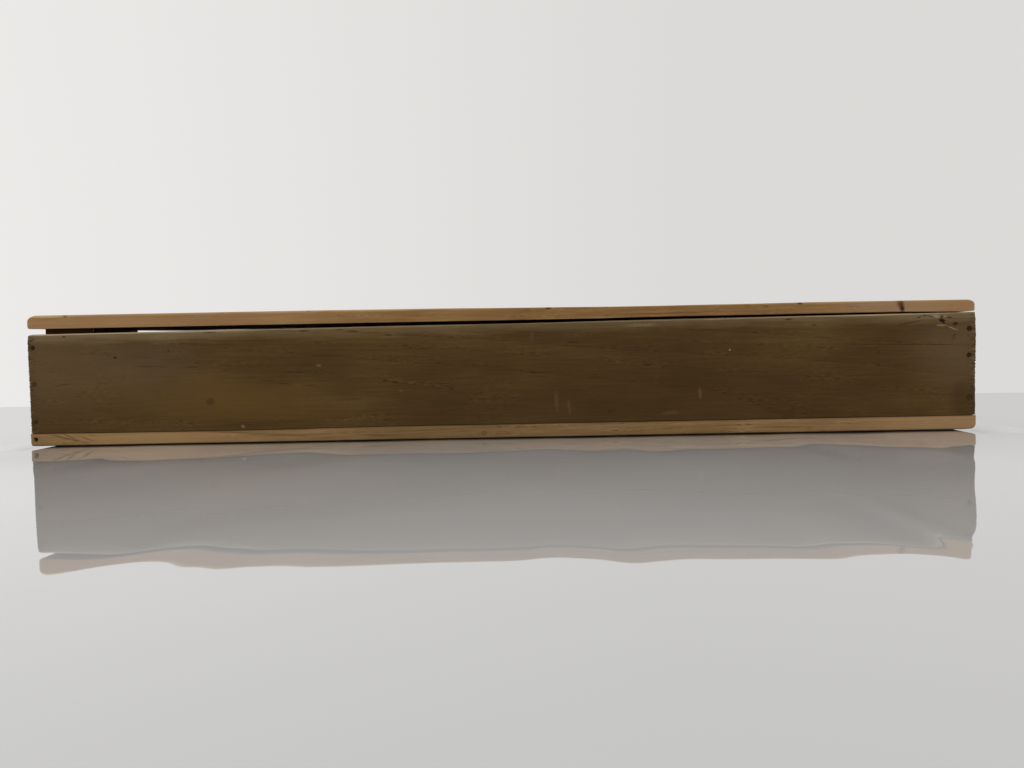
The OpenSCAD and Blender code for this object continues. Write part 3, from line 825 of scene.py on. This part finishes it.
def cleat_rings(side):
    """Rings of a cleat in the lid's own frame, with stations along Y. Its inner lower edge is eased."""
    low, high = (CLEAT_LOW, CLEAT_HIGH) if side == LEFT else (FAR_CLEAT_LOW, FAR_CLEAT_HIGH)
    thick = high[2] - low[2] - math.sin(LID_TILT) * (high[0] - low[0])
    half = high[1]
    y = places(-half, half, 2 * MM, 0.2 * MM, (-half, half), 1.2 * MM)
    eased, square = 0.8 * MM, 0.25 * MM
    radii = (eased, square, square, square) if side == LEFT else (square, eased, square, square)
    foot = -thick + quarter(half - np.abs(y), square)
    x = (LID_MIDDLE - high[0], LID_MIDDLE - low[0])
    return turned_about_z(capped(sections(y, x, (foot, 0), radii, [even(8), even(24)] * 2)), 90)


def peg_rings(radius, deep, seed):
    """Rings of a split-wood peg, a rounded square with its domed head at the origin and its point up +Z."""
    rng = np.random.default_rng(seed)
    share = np.array([0, 0.35, 0.7, 0.9, 1, 1, 1, 0.75, 0.35])
    length = deep / MM
    z = np.array([-0.14, -0.13, -0.08, 0, 0.15, 0.5 * length, length - 3, length - 1.2, length - 0.2]) * MM
    turn = np.linspace(0, 2 * np.pi, 28, endpoint=False)
    square = (np.abs(np.cos(turn)) ** 3.2 + np.abs(np.sin(turn)) ** 3.2) ** (-1 / 3.2)
    oval = 1 + 0.07 * np.cos(2 * turn + rng.uniform(0, 6))
    r = radius * square * oval * (1 + 0.02 * waver(turn, 1.3, seed, 2))
    # Rows run along +Z and columns the other way round, so that the faces point outwards
    angle = (turn + rng.uniform(0, 6))[::-1]
    x = share[:, None] * r[::-1] * np.cos(angle)
    y = share[:, None] * r[::-1] * np.sin(angle)
    return np.stack([x, y, np.broadcast_to(z[:, None], x.shape)], -1)


def peg_group(name, node, axis, way, deep):
    """A mesh of all pegs of one CAD node, each set at its head and driven inwards."""
    inward = np.zeros(3)
    inward[axis] = -way
    turn = np.array(Vector((0, 0, 1)).rotation_difference(Vector(inward)).to_matrix())
    radius = box_sizes().peg
    pieces = []
    for k, head in enumerate(peg_heads(node, axis, way)):
        rings = peg_rings(radius, deep, 31 * k + len(name)) @ turn.T + head
        pieces.append(skin(f"{name}_{k}", rings, edge_reach=0.01))
    with bpy.context.temp_override(active_object=pieces[0], selected_editable_objects=pieces):
        bpy.ops.object.join()
    pieces[0].name = pieces[0].data.name = name
    return pieces[0]


# Operators


class SCROLLBOX_OT_camera(bpy.types.Operator):
    """Adds the camera at the photographed angle: half a metre in front, at the height of the walls' middle"""
    bl_idname = "scroll_box.camera"
    bl_label = "Camera"

    def execute(self, context):
        place = Vector((36.3, -563.5, 57.2)) * MM
        yaw, pitch, roll = (math.radians(angle) for angle in (2.467, 2.49, -1.319))
        data = bpy.data.cameras.new("camera")
        data.sensor_width = 36
        # A phone's main camera
        focal_pixels, picture_pixels = 820, 1024
        data.lens = focal_pixels / picture_pixels * data.sensor_width
        camera = bpy.data.objects.new("camera", data)
        camera.matrix_world = (
            Matrix.Translation(place) @ Matrix.Rotation(yaw, 4, "Z")
            @ Matrix.Rotation(math.pi / 2 - pitch, 4, "X") @ Matrix.Rotation(roll, 4, "Z")
        )
        context.scene.collection.objects.link(camera)
        context.scene.camera = camera
        return {"FINISHED"}


class SCROLLBOX_OT_stage(bpy.types.Operator):
    """Adds the glossy table, the pale backdrop and the soft lights"""
    bl_idname = "scroll_box.stage"
    bl_label = "Table and light"

    def execute(self, context):
        table = table_top()
        material, tree = new_material("polished_table")
        # Lacquer gives a clear reflection that grows towards grazing sight, over a pale grey ground
        # foot lays a painted contact shadow round the box
        foot = add(tree, "Attribute", out="Fac", attribute_name="foot")
        surface = add(tree, "BsdfPrincipled", {
            "Base Color": tinted(tree, foot, paint("table"), paint("table_contact_shadow")),
            "Roughness": 0.015, "IOR": 1.5, "Coat Weight": 0.7, "Coat Roughness": 0.015,
        })
        add(tree, "OutputMaterial", {"Surface": surface})
        table.data.materials.append(material)

        world = bpy.data.worlds.new("studio")
        world.use_nodes = True
        tree = world.node_tree
        tree.nodes.clear()
        way = add(tree, "SeparateXYZ", [add(tree, "TexCoord", out="Generated")]).node.outputs
        share = add(tree, "MapRange", [way["X"], -0.6, 0.15])
        backdrop = tinted(tree, share, paint("backdrop_left"), paint("backdrop_right"))
        light = add(tree, "Background", {"Color": (1, 1, 1, 1), "Strength": 1.15})
        seen = add(tree, "Background", {"Color": backdrop})
        # The table mirrors the low part of the backdrop a little darker, so its far edge shows
        dulled = add(tree, "MapRange", [way["Z"], 0.05, 0.16, 0.86], interpolation_type="SMOOTHSTEP")
        mirrored = add(tree, "Background", {"Color": backdrop, "Strength": dulled})
        path = add(tree, "LightPath").node.outputs
        mixed = add(tree, "MixShader", [path["Is Camera Ray"], light, seen])
        mixed = add(tree, "MixShader", [path["Is Glossy Ray"], mixed, mirrored])
        add(tree, "OutputWorld", {"Surface": mixed})
        context.scene.world = world

        lamp = bpy.data.lights.new("window", "AREA")
        lamp.shape, lamp.size, lamp.size_y, lamp.energy = "RECTANGLE", 2, 1, 12
        window = bpy.data.objects.new("window", lamp)
        window.location = (-0.3, 1.4, 1.2)
        window.rotation_euler = window.location.to_track_quat("Z", "Y").to_euler()
        window.visible_glossy = False
        context.scene.collection.objects.link(window)
        context.scene.view_settings.view_transform = "Standard"
        return {"FINISHED"}


# Slopes of the table's polish along Y, in thousandths, at places along X in millimetres: first where the
# table mirrors the lid's edge for the camera, then where it mirrors the bottom board's
LID_RIPPLE = (
    (-150, 4), (-105, 2), (-97, 2.5), (-92, 4), (-84, 12.3), (-78, 16), (-70, 15.6), (-64, 12.2),
    (-57, 11.4), (-51, 9.2), (-45, 10.3), (-35, 10.2), (-26, 7), (-13, 4), (-3, 3), (9, 3.1), (16, 2.8),
    (28, 3.6), (36, 7.8), (46, 6.2), (51.5, 4.7), (57, 0.3), (61, 3), (72, 6.3), (84, 5), (96, 4),
    (110, 1), (119, 5), (124, 4.9), (130, 6), (136, 3.2), (144, -2.3), (148, 3.5), (152.5, 13), (160, 4),
    (200, 8),
)
BOARD_RIPPLE = (
    (-290, -12), (-262, -11), (-250, -10), (-240, -12), (-222, 0), (-206, -8), (-180, -19), (-150, -4),
    (-126, 7), (-106, 12), (-80, -2), (-33, 3), (-12, 0), (12, 4), (38, 15), (60, -2), (80, 5), (94, -12),
    (110, -3), (130, -5), (160, 3), (172, 1), (187, 18), (211, 2), (222, -13), (236, -28), (247, -16),
    (263, -8), (300, 0),
)


def table_top():
    """A glossy slab that ends a third of a metre behind the box. Its polish has slow waves, a sum of sines in
    seeded directions, and dips under both ends of the box. Its attribute foot, a painted contact shadow, is 1
    under the box."""
    x = places(-1.8, 1.8, 18 * MM)
    x = np.concatenate([x[x < -0.347], np.arange(-0.345, 0.345, 1.5 * MM), x[x > 0.347]])
    y = places(-1.6, 0.353, 18 * MM, 4 * MM, (-0.35, -0.1, -0.05), 130 * MM)
    y = np.concatenate([y, [0.3545, 0.355, 0.355]])
    fall = np.concatenate([np.zeros(len(y) - 3), [0.1, 0.6, 30]]) * MM
    x, y = np.meshgrid(x, y, indexing="ij")
    # The back edge runs a little askew to the box
    y = y - 0.096 * np.clip(x, -0.6, 0.6) * smooth((y - 0.1) / 0.25)
    rng = np.random.default_rng(41)
    z = np.full_like(x, -0.4 * MM)
    for period in np.geomspace(60, 160, 10) * MM:
        heading, phase = rng.uniform(0, 2 * np.pi, 2)
        slope = 0.0011 * rng.uniform(0.6, 1.4)
        way = x * math.cos(heading) + y * math.sin(heading)
        z += slope * period / (2 * np.pi) * np.sin(way * 2 * np.pi / period + phase)
    for knots, line in ((LID_RIPPLE, -338 * MM), (BOARD_RIPPLE, -109 * MM)):
        at, slopes = np.array(knots).T * MM
        slope = np.mean([np.interp(x + shift * MM, at, slopes) for shift in (-3, -1, 1, 3)], 0)
        z += slope * (y - line) * np.exp(-(((y - line) / (45 * MM)) ** 2))
    right = x > 0
    past = (np.abs(x) - np.where(right, 290, 287) * MM) / MM
    nearby = smooth((y + 78 * MM) / (34 * MM)) * (1 - smooth((y - 60 * MM) / (60 * MM)))
    z -= np.where(right, 1.5, 1.05) * MM * smooth(past / 17) * (1 - smooth((past - 18) / 26)) * nearby + fall
    # Painted contact shadow: 1 under the box, fading outside it
    out = np.hypot(np.clip(np.abs(x) - HALF_LEN, 0, None), np.clip(np.abs(y) - HALF_WIDE, 0, None))
    foot = np.exp(-((out / (9 * MM)) ** 2)).ravel()
    grid = np.arange(x.size).reshape(x.shape)
    quads = np.stack([grid[:-1, :-1], grid[1:, :-1], grid[1:, 1:], grid[:-1, 1:]], -1).reshape(-1, 4)
    return mesh_object("table_top", np.stack([x, y, z], -1).reshape(-1, 3), quads.tolist(), 50, foot=foot)


# Corners of the room inside in millimetres, a little outside its faces
ROOM = ((-297, -33, 7), (297, 33, 72))


class SCROLLBOX_OT_long_walls(bpy.types.Operator):
    """Adds the front and back walls"""
    bl_idname = "scroll_box.long_walls"
    bl_label = "Front and back walls"

    def execute(self, context):
        for word, rings, pith, tilt, seed, overlay in (
            ("front", long_wall(FRONT), (-0.0212, -0.023), (-0.052, -0.019), 0, old_front),
            ("back", turned_about_z(long_wall(BACK), 180), (0.03, -0.05), (0.04, -0.03), 3.1, old_back),
        ):
            material = wood(f"old_paulownia_{word}", "wall", pith, tilt, seed=seed, overlay=overlay)
            worn(
                f"{word}_wall", "box", "wall_wood", rings, material, seams=((2, board_top),), cavity=ROOM,
                edge_reach=0.8,
            )
        return {"FINISHED"}


class SCROLLBOX_OT_end_walls(bpy.types.Operator):
    """Adds the two end walls"""
    bl_idname = "scroll_box.end_walls"
    bl_label = "End walls"

    def execute(self, context):
        seams = ((2, board_top), (1, END_LOW[1]), (1, END_HIGH[1]))
        for side, word, seed in ((LEFT, "left", 1.7), (RIGHT, "right", 5.3)):
            name = f"old_paulownia_{word}_end"
            material = wood(name, "wall", (0.25, -0.06), (0.05, 0.1), along="Y", seed=seed)
            rings = end_wall_rings(side)
            worn(f"{word}_end_wall", "box", "wall_wood", rings, material, seams=seams, cavity=ROOM)
        return {"FINISHED"}


class SCROLLBOX_OT_bottom_board(bpy.types.Operator):
    """Adds the bottom board"""
    bl_idname = "scroll_box.bottom_board"
    bl_label = "Bottom board"

    def execute(self, context):
        # The seam at the board's underside gives it a painted shade
        seams = ((2, board_top), (2, BASE_LOW[2]))
        name = "tan_paulownia_bottom"
        material = wood(name, "base", (0, 0.09), (0.012, 0.01), seed=0.4, overlay=board_streaks)
        worn("bottom_board", "box", "board_wood", base_rings(), material, seams=seams, cavity=ROOM)
        return {"FINISHED"}


class SCROLLBOX_OT_lid(bpy.types.Operator):
    """Adds the lid board"""
    bl_idname = "scroll_box.lid"
    bl_label = "Lid"

    def execute(self, context):
        under = ((-296, -33, -5), (296, 33, 0.6))
        name = "tan_paulownia_lid"
        material = wood(name, "board", (0.01, -0.14), (-0.012, 0.01), seed=2.2, overlay=lid_stain)
        worn("lid_board", "lid", "board_wood", lid_rings(), material, cavity=under, place=lid_placed)
        return {"FINISHED"}


class SCROLLBOX_OT_cleats(bpy.types.Operator):
    """Adds the two cleats under the lid"""
    bl_idname = "scroll_box.cleats"
    bl_label = "Lid cleats"

    def execute(self, context):
        for side, word, seed, inner_x in (
            (LEFT, "left", 4.1, CLEAT_HIGH[0]), (RIGHT, "right", 6.6, FAR_CLEAT_LOW[0]),
        ):
            # Each cleat carries painted shade on its front end and inner side
            name, dark = f"paulownia_{word}_cleat", cleat_painted_shade(inner_x)
            material = wood(name, "inner", (0.28, -0.05), (0.02, 0.03), along="Y", seed=seed, overlay=dark)
            rings = cleat_rings(side)
            worn(f"{word}_lid_cleat", "lid", "inner_wood", rings, material, place=lid_placed, edge_reach=0.01)
        return {"FINISHED"}


class SCROLLBOX_OT_roller_rests(bpy.types.Operator):
    """Adds the two notched rests for the roller's knobs"""
    bl_idname = "scroll_box.roller_rests"
    bl_label = "Roller rests"

    def execute(self, context):
        for side, word, seed in ((LEFT, "left", 7.4), (RIGHT, "right", 8.9)):
            name = f"paulownia_{word}_rest"
            material = wood(name, "inner", (0.3, -0.08), (0.02, 0.03), along="Y", seed=seed)
            worn(f"{word}_roller_rest", "box", "inner_wood", rest_rings(side), material)
        return {"FINISHED"}


class SCROLLBOX_OT_pegs(bpy.types.Operator):
    """Adds every group of wooden pegs"""
    bl_idname = "scroll_box.pegs"
    bl_label = "Pegs"

    def execute(self, context):
        material = wood("dark_peg_end_grain", "peg", (0, 0), (0.7, 0.4), ring=0.6 * MM, overlay=dulled_heads)
        walls = {"front": FRONT, "back": BACK}
        groups = [
            (f"{side}_{end}_corner_pegs", "box", 1, walls[side], 22 * MM) for side in walls for end in ENDS]
        groups += [(f"{side}_bottom_pegs", "box", 2, -1, 23 * MM) for side in (*walls, *ENDS)]
        groups += [(f"{side}_cleat_pegs", "lid", 2, -1, 7.6 * MM) for side in ENDS]
        for node, body, axis, way, deep in groups:
            dress(peg_group(f"{node}_split", node, axis, way, deep), body, node, material)
        return {"FINISHED"}


class SCROLLBOX_PT_panel(bpy.types.Panel):
    """Lists the pieces of the scroll box"""
    bl_idname = "SCROLLBOX_PT_panel"
    bl_label = "Scroll box"
    bl_space_type = "VIEW_3D"
    bl_region_type = "UI"
    bl_category = "Scroll box"

    def draw(self, context):
        for operator in OPERATORS:
            self.layout.operator(operator.bl_idname)


OPERATORS = (
    SCROLLBOX_OT_camera, SCROLLBOX_OT_stage, SCROLLBOX_OT_long_walls, SCROLLBOX_OT_end_walls,
    SCROLLBOX_OT_bottom_board, SCROLLBOX_OT_lid, SCROLLBOX_OT_cleats, SCROLLBOX_OT_roller_rests,
    SCROLLBOX_OT_pegs,
)
CLASSES = (ScrollBoxSizes, ScrollBoxColours, *OPERATORS, SCROLLBOX_PT_panel)


def register():
    for item in CLASSES:
        bpy.utils.register_class(item)
    bpy.types.Scene.scroll_box_sizes = PointerProperty(type=ScrollBoxSizes)
    bpy.types.Scene.scroll_box_colours = PointerProperty(type=ScrollBoxColours)


def unregister():
    del bpy.types.Scene.scroll_box_colours
    del bpy.types.Scene.scroll_box_sizes
    for item in reversed(CLASSES):
        bpy.utils.unregister_class(item)


def main():
    """Makes every piece in order."""
    register()
    for operator in OPERATORS:
        getattr(bpy.ops.scroll_box, operator.bl_idname.split(".")[1])()


if __name__ == "__main__":
    main()
